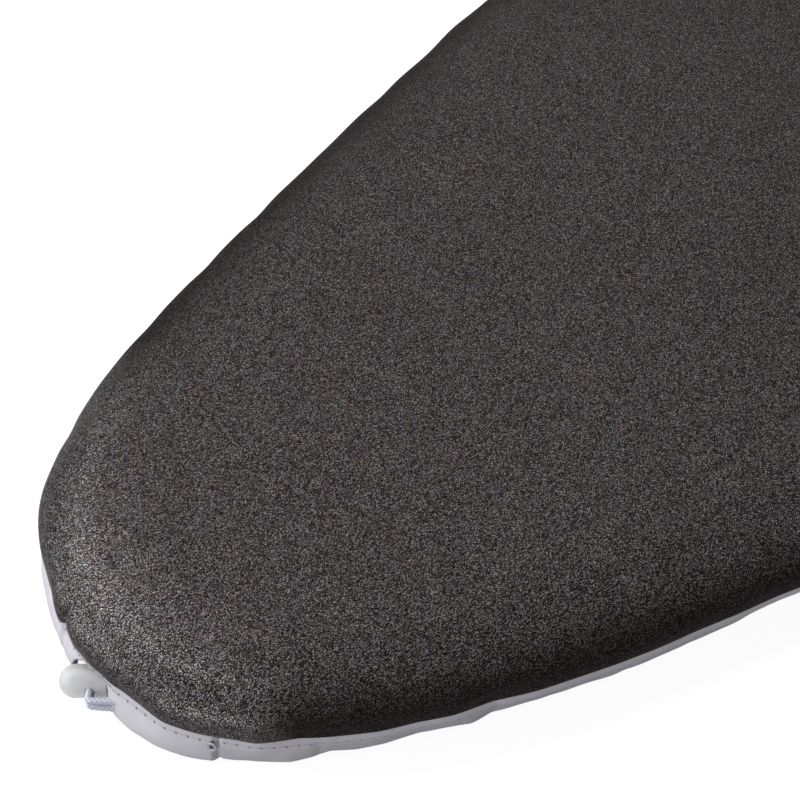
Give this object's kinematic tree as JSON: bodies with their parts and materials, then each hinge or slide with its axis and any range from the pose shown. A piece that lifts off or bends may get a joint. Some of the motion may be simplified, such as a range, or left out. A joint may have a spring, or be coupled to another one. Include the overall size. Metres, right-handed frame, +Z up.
{
  "type": "ironing board cover",
  "caption": "Fitted ironing board cover: coated fabric over foam and felt, sewn into a tape binding with a drawstring tunnel, closed by a spring cord lock at the nose.",
  "frame": {"origin": "middle of the overall box, on the surface that the cover stands on", "axes": "+X from the narrow nose to the wide end, +Y across, +Z up out of the ironing surface"},
  "size_m": [1.2458, 0.398, 0.026],
  "materials": {
    "top_fabric": "dark charcoal coated weave with fine silvery glints",
    "foam_layer": "open-cell polyurethane foam, matt",
    "felt_layer": "needled felt, matt and slightly hairy",
    "edge_binding": "light grey woven tape, folded and topstitched",
    "drawstring": "off-white braided cord",
    "lock_barrel": "milky translucent moulded plastic",
    "lock_plunger": "milky translucent moulded plastic",
    "lock_spring": "bright drawn steel wire"
  },
  "bodies": {
    "cover": {"top_fabric": "top_fabric", "foam_layer": "foam_layer", "felt_layer": "felt_layer", "edge_binding": "edge_binding", "drawstring": "drawstring"},
    "lock": {"lock_barrel": "lock_barrel", "lock_spring": "lock_spring"},
    "plunger": {"lock_plunger": "lock_plunger"}
  },
  "joints": [
    {"name": "lock_slide", "type": "slide", "parent": "cover", "child": "lock", "axis": [0.6561, 0.7547, 0], "range_m": [-0.0012, 0.0012]},
    {"name": "plunger_press", "type": "slide", "parent": "lock", "child": "plunger", "axis": [-0.7547, 0.6561, 0], "range_m": [0, 0.0022], "stiffness_N_per_m": 300, "springref_m": -0.002, "deforming": ["lock_spring"]}
  ]
}
